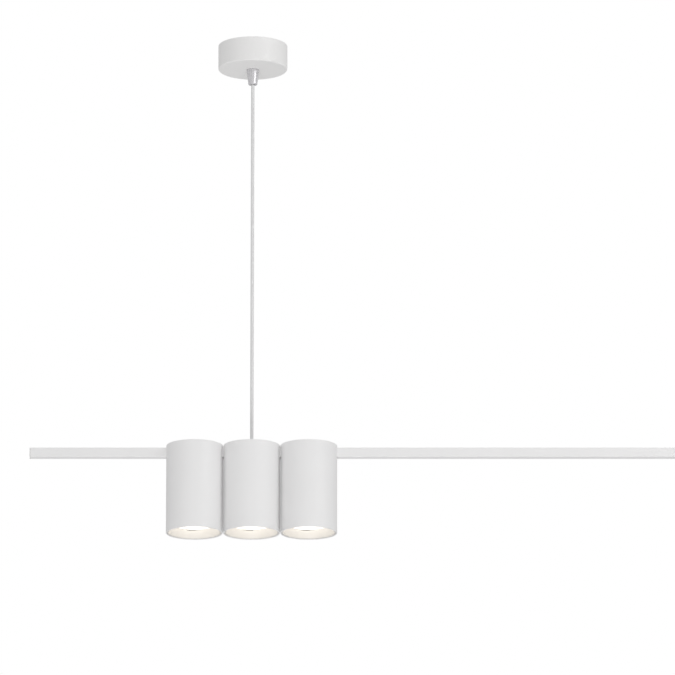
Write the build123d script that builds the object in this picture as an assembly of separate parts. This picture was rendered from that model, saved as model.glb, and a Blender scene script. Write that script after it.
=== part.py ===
from build123d import *
import os
from math import cos, degrees, radians, sin, sqrt

# Pendant light with three spots on one bar, hung by one cord from a round ceiling canopy.
# Millimetres, +Z up. The origin is on the ceiling, on the cord's axis. +X runs along the long arm.

# ---- driving dimensions: ceiling canopy and grip ----
canopy_d = 74.0
canopy_height = 26.5
canopy_wall = 1.2
canopy_edge_round = 1.5
grip_height = 16.7
grip_top_d = 13.3
grip_tip_d = 9.3
grip_thread_d = 10.0
grip_thread_length = 8.0
grip_mouth_flare = 1.0
nut_across_flats = 14.0
nut_height = 4.0
retainer_d = 8.0
retainer_height = 5.0

# ---- ceiling bracket ----
bracket_sheet = 1.5
bracket_width = 24.0
ear_width = 12.0
ear_drop = 10.0
ceiling_slot_spacing = 40.0
ceiling_slot_length = 12.0
ceiling_slot_width = 4.6
supply_hole_d = 12.0
cover_screw_d = 3.0
cover_screw_depth = 6.0
cover_screw_length = 5.5

# ---- terminal block ----
pole_pitch = 8.0
pole_count = 3
block_depth = 11.0
block_height = 9.0
clamp_d = 4.8
clamp_bore_d = 3.0
clamp_inset = 1.0
clamp_row_shares = (0.27, 0.73)
terminal_screw_d = 3.0
terminal_screw_length = 3.2
block_screw_d = 2.5
block_screw_head_d = 4.4
block_screw_head_height = 1.4

# ---- cord ----
cord_d = 3.6
cord_length = 399.0
core_d = 1.2
core_circle_r = 0.95
core_first_rise = 2.0
core_turn_y = -3.5
core_bends = [1.5, 2.3]
sheath_above_retainer = 1.5
ferrule_d = 6.8
sheath_below_ferrule = 0.6

# ---- bar ----
bar_size = 10.0
bar_wall = 1.0
left_arm = 144.6
right_arm = 365.0
end_plate = 1.0
end_plug_length = 6.0
aluminium_density = 2.70e-3
steel_density = 7.85e-3

# ---- spots ----
spot_count = 3
tube_wall = 1.2
gap_round_bulb = 3.8
tube_gap = 0.4
tube_edge_round = 0.4
cap_thickness = 3.0
cap_post_d = 7.0
bush_d = 9.0
bush_height = 4.0
bush_spigot_d = 6.0
bush_edge = 0.8

# ---- lamp bracket and lampholder ----
hanger_sheet = 1.2
hanger_height = 9.7
hanger_half_length = 9.0
hanger_leg_width = 12.0
screw_d = 3.0
screw_head_d = 5.5
screw_head_height = 2.0
cap_screw_length = 7.5
holder_d = 29.0
holder_height = 16.0
holder_screw_spacing = 22.0
holder_screw_tip = 2.3
holder_lip = 2.4
holder_edge = 0.8
contact_sheet = 0.6
contact_width = 4.0

# ---- bulb ----
bulb_d = 50.0
bulb_length = 46.3
bulb_rim_height = 3.8
bulb_waist_d = 27.0
bulb_base_d = 18.0
bulb_base_height = 15.0
bulb_rim_below_lens = 0.5
bulb_bell_r = 125.0
lens_d = 46.0
lens_edge_rise = 0.9
lens_thickness = 3.5
lens_ledge = 1.3
led_board_thickness = 1.6
led_cavity_depth = 5.0
pin_spacing = 10.0
pin_neck_d = 3.0
pin_neck_length = 3.0
pin_head_d = 4.8
pin_head_length = 4.0
bulb_twist = 25.0

# ---- bezel ring in the mouth of each tube ----
lens_recess = 9.7
bezel_sheet = 1.0
bezel_lip_recess = 0.6
bezel_lip_height = 1.6
bezel_skirt_height = 11.4
bezel_over_bulb_rim = 1.7
bezel_twist = 18.0
stud_d = 2.4
stud_reach = 1.6
stud_height = 7.5
stud_count = 3

# ---- wires in the bar ----
wire_d = 1.4
wire_side = 1.6
wire_drop_x = 5.0
earth_wire_d = 1.2
earth_bend = 1.8
earth_straight_x = 6.0
earth_risen_x = 10.05
earth_tag_x = 15.0
earth_tag_left = 3.0
earth_tag_right = 5.0
earth_tag_height = 3.6

# ---- fits ----
running = 0.05
slip = 0.1
loose = 0.15
clearance = 0.3

# ---- heights and places worked out from the driving dimensions ----
tube_d = bulb_d + 2 * (gap_round_bulb + tube_wall)
cord_r = cord_d / 2
tube_r = tube_d / 2
tube_bore_r = tube_r - tube_wall
grip_tip_z = -canopy_height - grip_height
tube_top_z = grip_tip_z - cord_length
bar_top_z = tube_top_z - cap_thickness
bar_floor_z = bar_top_z - bar_size
holder_top_z = bar_floor_z - hanger_height
holder_face_z = holder_top_z - holder_height
pin_face_z = holder_face_z - clearance
lens_front_z = pin_face_z - bulb_length
mouth_z = lens_front_z - lens_recess

spot_pitch = tube_d + tube_gap
spot_places = [(number - (spot_count - 1) / 2) * spot_pitch for number in range(spot_count)]
bar_left_x = spot_places[0] - tube_r - left_arm
bar_right_x = spot_places[-1] + tube_r + right_arm
wire_z = bar_floor_z + bar_wall + wire_d / 2 + clearance
post_y = bar_size / 2 + slip + cap_post_d / 2
canopy_bore_r = canopy_d / 2 - canopy_wall
plate_x = sqrt(canopy_bore_r ** 2 - (bracket_width / 2) ** 2) - clearance
ear_x = sqrt(canopy_bore_r ** 2 - (ear_width / 2) ** 2) - clearance
block_front_y = retainer_d / 2 + clearance

os.makedirs("parts", exist_ok=True)


def rod(diameter, low, high, x=0.0, y=0.0):
    """Upright round solid between two heights."""
    return Pos(x, y, (low + high) / 2) * Cylinder(diameter / 2, high - low)


def slab(x_low, x_high, y_low, y_high, z_low, z_high):
    """Box between two corners."""
    centre = Pos((x_low + x_high) / 2, (y_low + y_high) / 2, (z_low + z_high) / 2)
    return centre * Box(x_high - x_low, y_high - y_low, z_high - z_low)


def turned(points):
    """Solid turned about the Z axis from corners given as (radius, height)."""
    outline = Plane.XZ * Polyline(*points, close=True)
    return revolve(make_face(outline.edges()), Axis.Z)


def along_x(diameter, x_low, x_high, y, z):
    """Round solid lying along X."""
    return Pos((x_low + x_high) / 2, y, z) * Rot(0, 90, 0) * Cylinder(diameter / 2, x_high - x_low)


def along_y(diameter, y_low, y_high, x, z):
    """Round solid lying along Y."""
    return Pos(x, (y_low + y_high) / 2, z) * Rot(90, 0, 0) * Cylinder(diameter / 2, y_high - y_low)


def wire(diameter, points, bend_radius):
    """Round wire of straight runs joined by tangent bends."""
    path = FilletPolyline(*points, radius=bend_radius)
    return sweep(Plane(path @ 0, z_dir=path % 0) * Circle(diameter / 2), path=path)


def save(node, shape):
    """Writes one node; a list is a group of separate solids."""
    export_step(Compound(children=shape) if isinstance(shape, list) else shape, f"parts/{node}.step")


def at_spots(make):
    """One copy of a group of solids at each spot's axis."""
    return [Pos(x, 0, 0) * solid for x in spot_places for solid in make()]


# ---- ceiling canopy ----
def canopy_cover():
    outer_r = canopy_d / 2
    shell = rod(canopy_d, -canopy_height, 0)
    shell = fillet(shell.edges().group_by(Axis.Z)[0], canopy_edge_round)
    shell -= rod(2 * canopy_bore_r, -canopy_height + canopy_wall, 0)
    shell -= rod(grip_thread_d + 2 * running, -canopy_height, -canopy_height + canopy_wall)
    shell -= along_x(cover_screw_d + slip, -outer_r, outer_r, 0, -cover_screw_depth)
    return shell


def ceiling_bracket():
    plate = slab(-plate_x, plate_x, -bracket_width / 2, bracket_width / 2, -bracket_sheet, 0)
    plate += slab(-ear_x, ear_x, -ear_width / 2, ear_width / 2, -bracket_sheet, 0)
    for side in (-1, 1):
        ear = slab(ear_x - bracket_sheet, ear_x, -ear_width / 2, ear_width / 2, -ear_drop, 0)
        plate += ear if side > 0 else ear.mirror(Plane.YZ)
    plate -= along_x(cover_screw_d, -ear_x, ear_x, 0, -cover_screw_depth)
    plate -= rod(supply_hole_d, -bracket_sheet, 0)
    slot = extrude(SlotOverall(ceiling_slot_length, ceiling_slot_width), -bracket_sheet)
    for side in (-1, 1):
        plate -= Pos(side * ceiling_slot_spacing / 2, 0, 0) * slot
    plate -= rod(block_screw_d, -bracket_sheet, 0, pole_pitch / 2, block_front_y + block_depth / 2)
    return plate


def canopy_screws():
    outer_x = canopy_d / 2
    socket_depth = cover_screw_length / 3
    screws = []
    for side in (-1, 1):
        ends = sorted((side * outer_x, side * (outer_x - cover_screw_length)))
        socket = sorted((side * outer_x, side * (outer_x - socket_depth)))
        screw = along_x(cover_screw_d, *ends, 0, -cover_screw_depth)
        screws.append(screw - along_x(cover_screw_d / 2, *socket, 0, -cover_screw_depth))
    return screws


def cord_grip():
    floor_z = -canopy_height
    bore_r = cord_r + loose
    thread_r = grip_thread_d / 2
    return turned([
        (bore_r, floor_z + grip_thread_length),
        (thread_r, floor_z + grip_thread_length),
        (thread_r, floor_z),
        (grip_top_d / 2, floor_z),
        (grip_tip_d / 2, grip_tip_z),
        (bore_r + grip_mouth_flare, grip_tip_z),
        (bore_r, grip_tip_z + grip_mouth_flare),
    ])


def grip_nut():
    floor_z = -canopy_height + canopy_wall
    hexagon = RegularPolygon(nut_across_flats / 2, 6, major_radius=False)
    nut = Pos(0, 0, floor_z) * extrude(hexagon, nut_height)
    return nut - rod(grip_thread_d, floor_z, floor_z + nut_height)


def cord_retainer():
    seat_z = -canopy_height + grip_thread_length
    return rod(retainer_d, seat_z, seat_z + retainer_height) - rod(cord_d, seat_z, seat_z + retainer_height)


# ---- terminal block inside the canopy ----
block_top_z = -bracket_sheet
block_low_z = block_top_z - block_height
pole_z = (block_top_z + block_low_z) / 2
pole_places = [(number - (pole_count - 1) / 2) * pole_pitch for number in range(pole_count)]
block_back_y = block_front_y + block_depth
clamp_rows = [block_front_y + block_depth * share for share in clamp_row_shares]
block_middle_y = (block_front_y + block_back_y) / 2


def terminal_block():
    half = pole_count * pole_pitch / 2 + slip
    body = slab(-half, half, block_front_y, block_back_y, block_low_z, block_top_z)
    for x in pole_places:
        body -= along_y(clamp_d, block_front_y, block_back_y, x, pole_z)
        for y in clamp_rows:
            body -= rod(terminal_screw_d + 2 * slip, block_low_z, pole_z, x, y)
    return body - rod(block_screw_d, block_low_z, block_top_z, pole_pitch / 2, block_middle_y)


def terminal_clamps():
    clamps = []
    for x in pole_places:
        clamp = along_y(clamp_d, block_front_y + clamp_inset, block_back_y - clamp_inset, x, pole_z)
        clamp -= along_y(clamp_bore_d, block_front_y, block_back_y, x, pole_z)
        for y in clamp_rows:
            clamp -= rod(terminal_screw_d, block_low_z, pole_z, x, y)
        clamps.append(clamp)
    return clamps


def terminal_screws():
    tip_z = pole_z - core_d / 2 - slip
    low_z = tip_z - terminal_screw_length
    slot_depth = terminal_screw_d / 5
    screws = []
    for x in pole_places:
        for y in clamp_rows:
            screw = rod(terminal_screw_d, low_z, tip_z, x, y)
            slot = slab(x - terminal_screw_d, x + terminal_screw_d, y - slot_depth / 2,
                        y + slot_depth / 2, low_z, low_z + slot_depth)
            screws.append(screw - slot)
    return screws


def block_screw():
    x = pole_pitch / 2
    head_low_z = block_low_z - block_screw_head_height
    return (rod(block_screw_d, block_low_z, 0, x, block_middle_y)
            + rod(block_screw_head_d, head_low_z, block_low_z, x, block_middle_y))


# ---- the cord ----
feed_top_z = -canopy_height + grip_thread_length + retainer_height + sheath_above_retainer


def feed_cord():
    return rod(cord_d, grip_tip_z + cord_r + running, feed_top_z)


def feed_core(number):
    """One core from the sheath's end, up and into its terminal."""
    angle = radians(270 + 120 * (number - 1))
    x = core_circle_r * cos(angle)
    y = core_circle_r * sin(angle)
    side_x = pole_places[number]
    end_y = clamp_rows[0] + terminal_screw_d / 2
    points = [
        (x, y, feed_top_z),
        (x, y, feed_top_z + core_first_rise),
        (side_x, core_turn_y, pole_z),
        (side_x, end_y, pole_z),
    ]
    return wire(core_d, points, core_bends)


def cord_neck():
    return Pos(0, 0, grip_tip_z) * Sphere(cord_r)


sheath_end_z = wire_z + wire_d / 2 + clearance
ferrule_low_z = sheath_end_z + sheath_below_ferrule
ferrule_top_z = bar_top_z - bar_wall - slip


def supply_cord():
    return rod(cord_d, sheath_end_z, grip_tip_z) - Pos(0, 0, grip_tip_z) * Sphere(cord_r + running)


def cord_ferrule():
    return rod(ferrule_d, ferrule_low_z, ferrule_top_z) - rod(cord_d, ferrule_low_z, ferrule_top_z)


# ---- the bar ----
bar_bore = bar_size - 2 * bar_wall


def bar():
    half = bar_size / 2
    inner = bar_bore / 2
    tube_left = bar_left_x + end_plate
    tube_right = bar_right_x - end_plate
    tube = slab(tube_left, tube_right, -half, half, bar_floor_z, bar_top_z)
    tube -= slab(tube_left, tube_right, -inner, inner, bar_floor_z + bar_wall, bar_top_z - bar_wall)
    tube -= rod(bush_spigot_d, bar_top_z - bar_wall, bar_top_z)
    for x in spot_places:
        for side in (-1, 1):
            tube -= rod(wire_d + 2 * clearance, bar_floor_z, bar_floor_z + bar_wall,
                        x + side * wire_drop_x, -side * wire_side)
    return tube


def bar_end(left):
    """Square end plate with a plug inside the bar."""
    half = bar_size / 2
    plug = bar_bore / 2 - slip
    middle_z = bar_top_z - half
    end = slab(0, end_plate, -half, half, bar_floor_z, bar_top_z)
    end += slab(end_plate, end_plate + end_plug_length, -plug, plug, middle_z - plug, middle_z + plug)
    if left:
        return Pos(bar_left_x, 0, 0) * end
    return Pos(bar_right_x, 0, 0) * end.mirror(Plane.YZ)


def ballast():
    """Steel weight in the short arm. Its length brings the bar's centre of mass under the cord."""
    side = bar_bore - 2 * slip
    left_x = bar_left_x + end_plate + end_plug_length + clearance
    bar_area = bar_size ** 2 - bar_bore ** 2
    bar_moment = bar_area * aluminium_density * (bar_right_x ** 2 - bar_left_x ** 2) / 2
    length = -left_x - sqrt(left_x ** 2 - 2 * bar_moment / (side ** 2 * steel_density))
    low_z = bar_floor_z + bar_wall
    return slab(left_x, left_x + length, -side / 2, side / 2, low_z, low_z + side)


# ---- wires inside the bar ----
def bar_wire(side):
    """Live or neutral: one run along the bar with a drop into each lampholder."""
    y = -side * wire_side
    contact_z = holder_face_z + holder_lip + pin_head_length + 2 * clearance + contact_sheet
    drops = [x + side * wire_drop_x for x in spot_places]
    run = along_x(wire_d, min(drops), max(drops), y, wire_z)
    for x in drops:
        run += rod(wire_d, contact_z, wire_z, x, y)
        run += Pos(x, y, wire_z) * Sphere(wire_d / 2)
    return run


def bar_earth():
    rise = bar_bore / 2
    far_y = bar_bore / 2 - contact_sheet - wire_d / 2
    points = [
        (0, 0, wire_z),
        (earth_straight_x, 0, wire_z),
        (earth_risen_x, far_y / 3, wire_z + rise),
        (earth_tag_x, far_y, wire_z + rise),
    ]
    return wire(earth_wire_d, points, earth_bend)


def earth_tag():
    wall_y = bar_bore / 2
    middle_z = wire_z + wall_y
    return slab(earth_tag_x - earth_tag_left, earth_tag_x + earth_tag_right, wall_y - contact_sheet, wall_y,
                middle_z - earth_tag_height / 2, middle_z + earth_tag_height / 2)


# ---- spot tubes and caps ----
def spot_tube():
    tube = rod(tube_d, mouth_z, tube_top_z)
    tube = fillet(tube.edges().filter_by(GeomType.CIRCLE), tube_edge_round)
    tube -= rod(2 * tube_bore_r, mouth_z, tube_top_z)
    half = bar_size / 2 + slip
    tube -= slab(-tube_r, tube_r, -half, half, bar_floor_z - slip, bar_top_z)
    stud_z = mouth_z + stud_height
    inner_x = tube_bore_r - stud_reach
    stud = along_x(stud_d, inner_x, tube_bore_r + tube_wall / 2, 0, stud_z)
    for number in range(stud_count):
        tube += Rot(0, 0, 90 + number * 360 / stud_count) * stud
    return tube


def spot_cap(with_bush):
    cap = rod(2 * (tube_bore_r - running), bar_top_z, tube_top_z)
    cap = chamfer(cap.edges().group_by(Axis.Z)[-1], tube_edge_round)
    hole_depth = cap_screw_length - hanger_sheet + clearance
    for side in (-1, 1):
        cap += rod(cap_post_d, bar_floor_z, bar_top_z, 0, side * post_y)
        cap -= rod(screw_d, bar_floor_z, bar_floor_z + hole_depth, 0, side * post_y)
    if with_bush:
        cap -= rod(bush_spigot_d, bar_top_z, tube_top_z)
    return cap


def cord_bush():
    bore_r = cord_r + running
    spigot_r = bush_spigot_d / 2
    return turned([
        (bore_r, bar_top_z - bar_wall),
        (spigot_r, bar_top_z - bar_wall),
        (spigot_r, tube_top_z),
        (bush_d / 2, tube_top_z),
        (bush_d / 2, tube_top_z + bush_height - bush_edge),
        (bush_d / 2 - bush_edge, tube_top_z + bush_height),
        (bore_r, tube_top_z + bush_height),
    ])


# ---- lamp hanger, lampholder and their screws ----
def lamp_hanger():
    half_y = post_y + cap_post_d / 2
    half_leg = hanger_leg_width / 2
    foot_x = holder_d / 2
    hanger = slab(-hanger_half_length, hanger_half_length, -half_y, half_y,
                  bar_floor_z - hanger_sheet, bar_floor_z)
    for side in (-1, 1):
        leg = slab(hanger_half_length - hanger_sheet, hanger_half_length, -half_leg, half_leg,
                   holder_top_z, bar_floor_z)
        leg += slab(hanger_half_length - hanger_sheet, foot_x, -half_leg, half_leg,
                    holder_top_z, holder_top_z + hanger_sheet)
        leg -= rod(screw_d, holder_top_z, holder_top_z + hanger_sheet, holder_screw_spacing / 2)
        hanger += leg if side > 0 else leg.mirror(Plane.YZ)
        hanger -= rod(screw_d + 2 * slip, bar_floor_z - hanger_sheet, bar_floor_z, 0, side * post_y)
    window_x = wire_drop_x + wire_d
    window_y = wire_side + wire_d
    return hanger - slab(-window_x, window_x, -window_y, window_y, bar_floor_z - hanger_sheet, bar_floor_z)


def hanger_screws():
    seat_z = bar_floor_z - hanger_sheet
    return [rod(screw_d, seat_z, seat_z + cap_screw_length, 0, side * post_y)
            + rod(screw_head_d, seat_z - screw_head_height, seat_z, 0, side * post_y)
            for side in (-1, 1)]


def pin_arc(width, height, spare_angle):
    """Curved slot that the two pins sweep when the bulb is twisted, from its foot at height 0."""
    start = spare_angle
    sweep_angle = -(bulb_twist + 2 * spare_angle)
    arc = CenterArc((0, 0), pin_spacing / 2, start, sweep_angle)
    one = extrude(SlotArc(arc, width), height)
    return one + Rot(0, 0, 180) * one


undercut_z = holder_face_z + holder_lip
undercut_height = pin_head_length + 2 * clearance


def lampholder():
    body = rod(holder_d, holder_face_z, holder_top_z)
    body = chamfer(body.edges().group_by(Axis.Z)[0], holder_edge)
    head_hole = pin_head_d + 2 * clearance
    body -= Pos(0, 0, holder_face_z) * pin_arc(pin_neck_d + 2 * clearance, holder_lip, 0)
    body -= Pos(0, 0, undercut_z) * pin_arc(head_hole, undercut_height, 0)
    body -= Pos(0, 0, undercut_z + undercut_height) * pin_arc(contact_width, contact_sheet, 0)
    entry_z = undercut_z + undercut_height
    for start_angle in (0, 180):
        angle = radians(start_angle - bulb_twist)
        x = pin_spacing / 2 * cos(angle)
        y = pin_spacing / 2 * sin(angle)
        body -= rod(head_hole, holder_face_z, entry_z, x, y)
    for side in (-1, 1):
        x = side * holder_screw_spacing / 2
        body -= rod(screw_d + 2 * slip, holder_face_z, holder_top_z, x)
        body -= rod(screw_head_d + 2 * slip, holder_face_z, holder_face_z + 2 * screw_head_height, x)
        body -= rod(wire_d + 2 * slip, entry_z + contact_sheet, holder_top_z, side * wire_drop_x,
                    -side * wire_side)
    return body


def holder_contacts():
    strips = Pos(0, 0, undercut_z + undercut_height) * pin_arc(contact_width, contact_sheet, 0)
    return list(strips.solids())


def holder_screws():
    seat_z = holder_face_z + 2 * screw_head_height
    tip_z = holder_top_z + hanger_sheet + holder_screw_tip
    places = (-holder_screw_spacing / 2, holder_screw_spacing / 2)
    return [rod(screw_d, seat_z, tip_z, x)
            + rod(screw_head_d, seat_z - screw_head_height, seat_z, x)
            for x in places]


# ---- bulb ----
bulb_face_z = lens_front_z - bulb_rim_below_lens
lens_back_z = lens_front_z + lens_thickness
cavity_r = lens_d / 2 - lens_ledge
cavity_top_z = lens_back_z + led_cavity_depth


def bulb_body():
    rim_r = bulb_d / 2
    waist_r = bulb_waist_d / 2
    base_r = bulb_base_d / 2
    seat_r = lens_d / 2 + slip
    shoulder_z = bulb_face_z + bulb_rim_height
    waist_z = pin_face_z - bulb_base_height
    outline = Polyline(
        (waist_r, waist_z), (base_r, waist_z + waist_r - base_r), (base_r, pin_face_z), (0, pin_face_z),
        (0, cavity_top_z), (cavity_r, cavity_top_z), (cavity_r, lens_back_z), (seat_r, lens_back_z),
        (seat_r, bulb_face_z), (rim_r, bulb_face_z), (rim_r, shoulder_z))
    bell = RadiusArc((rim_r, shoulder_z), (waist_r, waist_z), -bulb_bell_r)
    face = make_face((Plane.XZ * (outline + bell)).edges())
    return revolve(face, Axis.Z)


def bulb_lens():
    edge_r = lens_d / 2
    edge_z = lens_front_z + lens_edge_rise
    sides = Polyline((edge_r, edge_z), (edge_r, lens_back_z), (0, lens_back_z), (0, lens_front_z))
    dome = ThreePointArc((0, lens_front_z), (edge_r / 2, lens_front_z + lens_edge_rise / 4),
                         (edge_r, edge_z))
    return revolve(make_face((Plane.XZ * (sides + dome)).edges()), Axis.Z)


def bulb_board():
    return rod(2 * (cavity_r - slip), cavity_top_z - led_board_thickness, cavity_top_z)


def bulb_pins():
    neck_top_z = pin_face_z + pin_neck_length
    places = (-pin_spacing / 2, pin_spacing / 2)
    return [rod(pin_neck_d, pin_face_z, neck_top_z, x)
            + rod(pin_head_d, neck_top_z, neck_top_z + pin_head_length, x)
            for x in places]


# ---- bezel ----
def sector(inner_r, outer_r, z_low, z_high, first_angle, sweep_angle):
    """Part of a ring, turned from first_angle."""
    section = make_face((Plane.XZ * Polyline(
        (inner_r, z_low), (outer_r, z_low), (outer_r, z_high), (inner_r, z_high), close=True)).edges())
    return Rot(0, 0, first_angle) * revolve(section, Axis.Z, sweep_angle)


def bezel():
    """Conical reflector ring with a skirt that locks on the tube's studs by a twist."""
    outer_r = tube_bore_r - slip
    throat_r = bulb_d / 2 - bezel_over_bulb_rim
    lip_z = mouth_z + bezel_lip_recess
    throat_z = bulb_face_z - clearance
    ring = turned([
        (outer_r, lip_z),
        (outer_r - bezel_sheet, lip_z),
        (throat_r, throat_z),
        (throat_r + bezel_sheet, throat_z),
        (outer_r - bezel_sheet, lip_z + bezel_lip_height),
        (outer_r - bezel_sheet, lip_z + bezel_skirt_height),
        (outer_r, lip_z + bezel_skirt_height),
    ])
    inner_r = outer_r - 2 * bezel_sheet
    half_slot = stud_d / 2 + clearance
    stud_z = mouth_z + stud_height
    spare = degrees(half_slot / tube_bore_r)
    for number in range(stud_count):
        stud_angle = 90 + number * 360 / stud_count
        ring -= sector(inner_r, tube_r, stud_z - half_slot, stud_z + half_slot,
                       stud_angle - spare, bezel_twist + 2 * spare)
        ring -= sector(inner_r, tube_r, stud_z, lip_z + bezel_skirt_height,
                       stud_angle + bezel_twist - spare, 2 * spare)
    return ring


# ---- every node ----
save("canopy_cover", canopy_cover())
save("ceiling_bracket", ceiling_bracket())
save("canopy_screws", canopy_screws())
save("cord_grip", cord_grip())
save("grip_nut", grip_nut())
save("cord_retainer", cord_retainer())
save("terminal_block", terminal_block())
save("terminal_clamps", terminal_clamps())
save("terminal_screws", terminal_screws())
save("block_screw", block_screw())
save("feed_cord", feed_cord())
for number, name in enumerate(("feed_live", "feed_earth", "feed_neutral")):
    save(name, feed_core(number))
save("cord_neck", cord_neck())
save("supply_cord", supply_cord())
save("cord_ferrule", cord_ferrule())
save("cord_bush", cord_bush())
save("bar", bar())
save("bar_end_left", bar_end(True))
save("bar_end_right", bar_end(False))
save("ballast", ballast())
save("bar_live", bar_wire(1))
save("bar_neutral", bar_wire(-1))
save("bar_earth", bar_earth())
save("earth_tag", earth_tag())
save("hanger_screws", at_spots(hanger_screws))
save("holder_screws", at_spots(holder_screws))
save("holder_contacts", at_spots(holder_contacts))
for number, x in enumerate(spot_places, 1):
    place = Pos(x, 0, 0)
    save(f"spot_tube_{number}", place * spot_tube())
    save(f"spot_cap_{number}", place * spot_cap(abs(x) < ferrule_d))
    save(f"lamp_hanger_{number}", place * lamp_hanger())
    save(f"lampholder_{number}", place * lampholder())
    save(f"bulb_body_{number}", place * bulb_body())
    save(f"bulb_lens_{number}", place * bulb_lens())
    save(f"bulb_board_{number}", place * bulb_board())
    save(f"bulb_pins_{number}", [place * pin for pin in bulb_pins()])
    save(f"bezel_{number}", place * bezel())
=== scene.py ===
import bpy
from math import atan2, cos, degrees, hypot, pi, radians, sin
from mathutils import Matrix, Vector


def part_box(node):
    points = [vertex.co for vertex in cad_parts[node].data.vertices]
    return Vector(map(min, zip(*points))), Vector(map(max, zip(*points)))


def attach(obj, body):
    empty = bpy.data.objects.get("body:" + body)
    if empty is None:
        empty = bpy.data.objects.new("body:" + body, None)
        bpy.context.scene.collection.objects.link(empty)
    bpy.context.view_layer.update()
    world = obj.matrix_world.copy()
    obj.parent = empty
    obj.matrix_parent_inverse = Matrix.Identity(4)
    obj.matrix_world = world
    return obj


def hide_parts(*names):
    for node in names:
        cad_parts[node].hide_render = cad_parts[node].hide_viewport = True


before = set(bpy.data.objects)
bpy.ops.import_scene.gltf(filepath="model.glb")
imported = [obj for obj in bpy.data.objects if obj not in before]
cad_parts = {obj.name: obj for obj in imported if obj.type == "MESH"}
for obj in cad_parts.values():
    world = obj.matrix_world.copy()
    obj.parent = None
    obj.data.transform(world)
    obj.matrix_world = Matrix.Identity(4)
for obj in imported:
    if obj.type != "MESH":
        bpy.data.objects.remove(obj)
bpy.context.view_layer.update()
mm = 0.001


# ---- camera, lamps and floor ----
def make_camera():
    """Long lens, well below and in front of the fixture, looking up at it."""
    look_up = radians(14.871)
    distance = 7.971
    aim_x = 0.0908
    aim_z = -0.3234
    data = bpy.data.cameras.new("camera")
    data.lens = 400
    data.clip_end = 60
    camera = bpy.data.objects.new("camera", data)
    bpy.context.scene.collection.objects.link(camera)
    camera.location = (aim_x, -distance * cos(look_up), aim_z - distance * sin(look_up))
    camera.rotation_euler = (pi / 2 + look_up, 0, 0)
    bpy.context.scene.camera = camera


def make_lamp(name, place, aim, size, power):
    """Square soft lamp aimed at a point."""
    data = bpy.data.lights.new(name, "AREA")
    data.shape = "SQUARE"
    data.size = size
    data.energy = power
    lamp = bpy.data.objects.new(name, data)
    bpy.context.scene.collection.objects.link(lamp)
    lamp.location = place
    lamp.rotation_euler = (Vector(place) - Vector(aim)).to_track_quat("Z", "Y").to_euler()
    lamp.visible_camera = False


def make_world():
    """White studio: plain white behind the fixture, and a softer white that lights it."""
    world = bpy.data.worlds.new("studio")
    bpy.context.scene.world = world
    world.use_nodes = True
    nodes = world.node_tree.nodes
    links = world.node_tree.links
    nodes.clear()
    soft_strength = 0.66
    white = (1, 1, 1, 1)
    output = nodes.new("ShaderNodeOutputWorld")
    mix = nodes.new("ShaderNodeMixShader")
    path = nodes.new("ShaderNodeLightPath")
    soft = nodes.new("ShaderNodeBackground")
    plain = nodes.new("ShaderNodeBackground")
    soft.inputs["Strength"].default_value = soft_strength
    soft.inputs["Color"].default_value = white
    plain.inputs["Color"].default_value = white
    links.new(path.outputs["Is Camera Ray"], mix.inputs["Fac"])
    links.new(soft.outputs[0], mix.inputs[1])
    links.new(plain.outputs[0], mix.inputs[2])
    links.new(mix.outputs[0], output.inputs["Surface"])


def make_floor():
    """Plain pale floor, far below."""
    width = 400
    floor_z = -14
    deselect_all()
    bpy.ops.mesh.primitive_plane_add(size=width, location=(0, 0, floor_z))
    floor = settle("floor")
    floor.data.materials.append(floor_paint())


# ---- modelling steps ----
def deselect_all():
    bpy.ops.object.select_all(action="DESELECT")


def make_active(piece):
    deselect_all()
    piece.select_set(True)
    bpy.context.view_layer.objects.active = piece


def settle(name):
    """Names the new object and puts its place, turn and size into its mesh."""
    piece = bpy.context.object
    piece.name = name
    piece.data.name = name
    bpy.ops.object.transform_apply(location=True, rotation=True, scale=True)
    return piece


def edit(piece):
    make_active(piece)
    bpy.ops.object.mode_set(mode="EDIT")
    bpy.ops.mesh.select_mode(type="VERT")
    bpy.ops.mesh.select_all(action="SELECT")


def leave():
    bpy.ops.object.mode_set(mode="OBJECT")


def pick(piece, kind, test):
    """Opens the piece with only the faces or edges whose middle passes a test selected.
    A face's test gets its middle and its normal, an edge's gets its two ends."""
    edit(piece)
    bpy.ops.mesh.select_mode(type=kind)
    bpy.ops.mesh.select_all(action="DESELECT")
    leave()
    mesh = piece.data
    if kind == "FACE":
        for face in mesh.polygons:
            face.select = test(face.center, face.normal)
    else:
        for edge in mesh.edges:
            first, second = (mesh.vertices[i].co for i in edge.vertices)
            edge.select = test(first, second)
    bpy.ops.object.mode_set(mode="EDIT")


def block(name, low, high):
    """Block between two corners."""
    deselect_all()
    middle = [(a + b) / 2 for a, b in zip(low, high)]
    size = [b - a for a, b in zip(low, high)]
    bpy.ops.mesh.primitive_cube_add(size=1, location=middle, scale=size)
    return settle(name)


def draw_rim(name, outline, middle, sides, fill):
    """Circle at the outline's first radius and height, open for editing."""
    deselect_all()
    radius, height = outline[0]
    bpy.ops.mesh.primitive_circle_add(vertices=sides, radius=radius, fill_type=fill,
                                      location=(*middle, height))
    piece = settle(name)
    edit(piece)
    return piece


def pull_rim(outline, middle):
    """Pulls the rim to each next height of the outline and widens or narrows it there."""
    for (radius, height), (next_radius, next_height) in zip(outline, outline[1:]):
        bpy.ops.mesh.extrude_region_move(TRANSFORM_OT_translate={"value": (0, 0, next_height - height)})
        wider = next_radius / radius
        bpy.ops.transform.resize(value=(wider, wider, 1), center_override=(*middle, next_height))
    bpy.ops.mesh.select_all(action="SELECT")


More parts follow.
